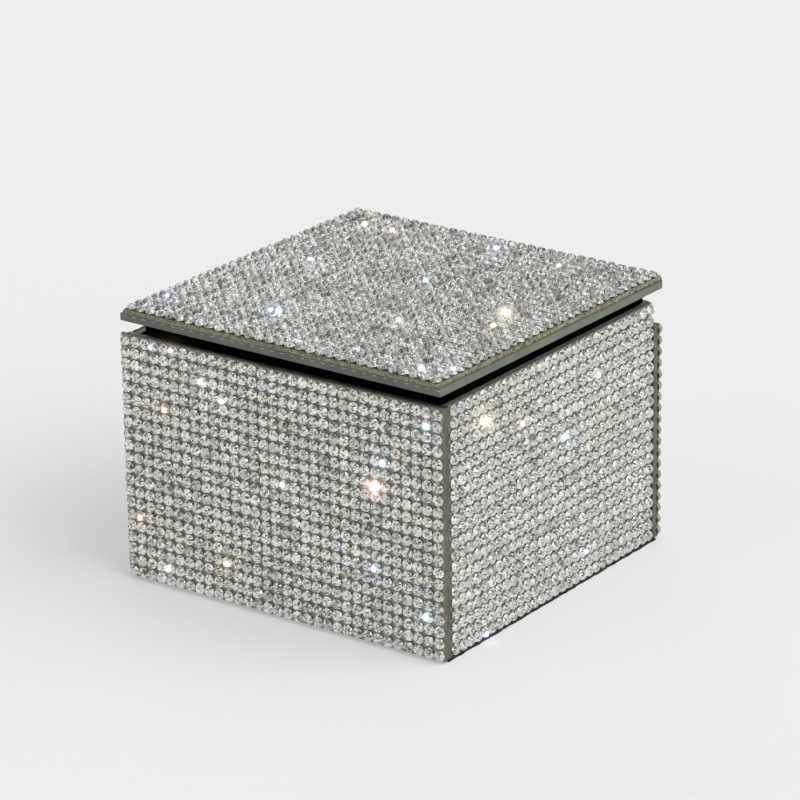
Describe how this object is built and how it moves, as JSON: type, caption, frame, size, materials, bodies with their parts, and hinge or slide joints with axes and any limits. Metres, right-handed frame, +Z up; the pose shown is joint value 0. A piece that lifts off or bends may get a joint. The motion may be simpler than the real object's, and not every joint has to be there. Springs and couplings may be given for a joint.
{
  "type": "hinged trinket box",
  "caption": "Square hinged keepsake box with mirror-glass panels covered in a mesh of small round faceted crystals and a velvet-lined inside.",
  "frame": {"origin": "centre of the box's footprint on the table, under the felt", "axes": "+X to the box's right seen from the front, +Y from the front to the hinged back, +Z up"},
  "size_m": [0.1012, 0.1015, 0.0734],
  "materials": {
    "felt": "matt black felt",
    "carcass_board": "fibreboard stained black",
    "lid_board": "fibreboard painted matt black",
    "mirror_glass": "polished mirror glass with a grey-green cut edge",
    "adhesive": "clear amber adhesive film",
    "cup_mesh": "pewter metallised plastic",
    "crystal": "cut and polished, foiled behind",
    "velvet": "soft charcoal velvet",
    "hinge_brass": "bright rolled brass",
    "pin_brass": "drawn brass wire",
    "screw_brass": "turned brass"
  },
  "bodies": {
    "body": {"base_felt": "felt", "base_board": "carcass_board", "front_wall": "carcass_board", "back_wall": "carcass_board", "left_wall": "carcass_board", "right_wall": "carcass_board", "front_glass": "mirror_glass", "back_glass": "mirror_glass", "left_glass": "mirror_glass", "right_glass": "mirror_glass", "front_film": "adhesive", "back_film": "adhesive", "left_film": "adhesive", "right_film": "adhesive", "front_mesh_left": "cup_mesh", "front_mesh_right": "cup_mesh", "back_mesh": "cup_mesh", "left_mesh": "cup_mesh", "right_mesh": "cup_mesh", "front_crystals_left": "crystal", "front_crystals_right": "crystal", "back_crystals": "crystal", "left_crystals": "crystal", "right_crystals": "crystal", "front_lining": "velvet", "back_lining": "velvet", "left_lining": "velvet", "right_lining": "velvet", "floor_cushion": "velvet", "hinge_left_body_leaf": "hinge_brass", "hinge_right_body_leaf": "hinge_brass", "hinge_left_pin": "pin_brass", "hinge_right_pin": "pin_brass", "hinge_body_screws": "screw_brass"},
    "lid": {"lid_board": "lid_board", "lid_glass": "mirror_glass", "lid_film": "adhesive", "lid_mesh": "cup_mesh", "lid_crystals": "crystal", "lid_lining": "velvet", "hinge_left_lid_leaf": "hinge_brass", "hinge_right_lid_leaf": "hinge_brass", "hinge_lid_screws": "screw_brass"}
  },
  "joints": [
    {"name": "lid_hinge", "type": "hinge", "parent": "body", "child": "lid", "pos_m": [0, 0.0453, 0.0669], "axis": [-1, 0, 0], "range_deg": [0, 97]}
  ]
}
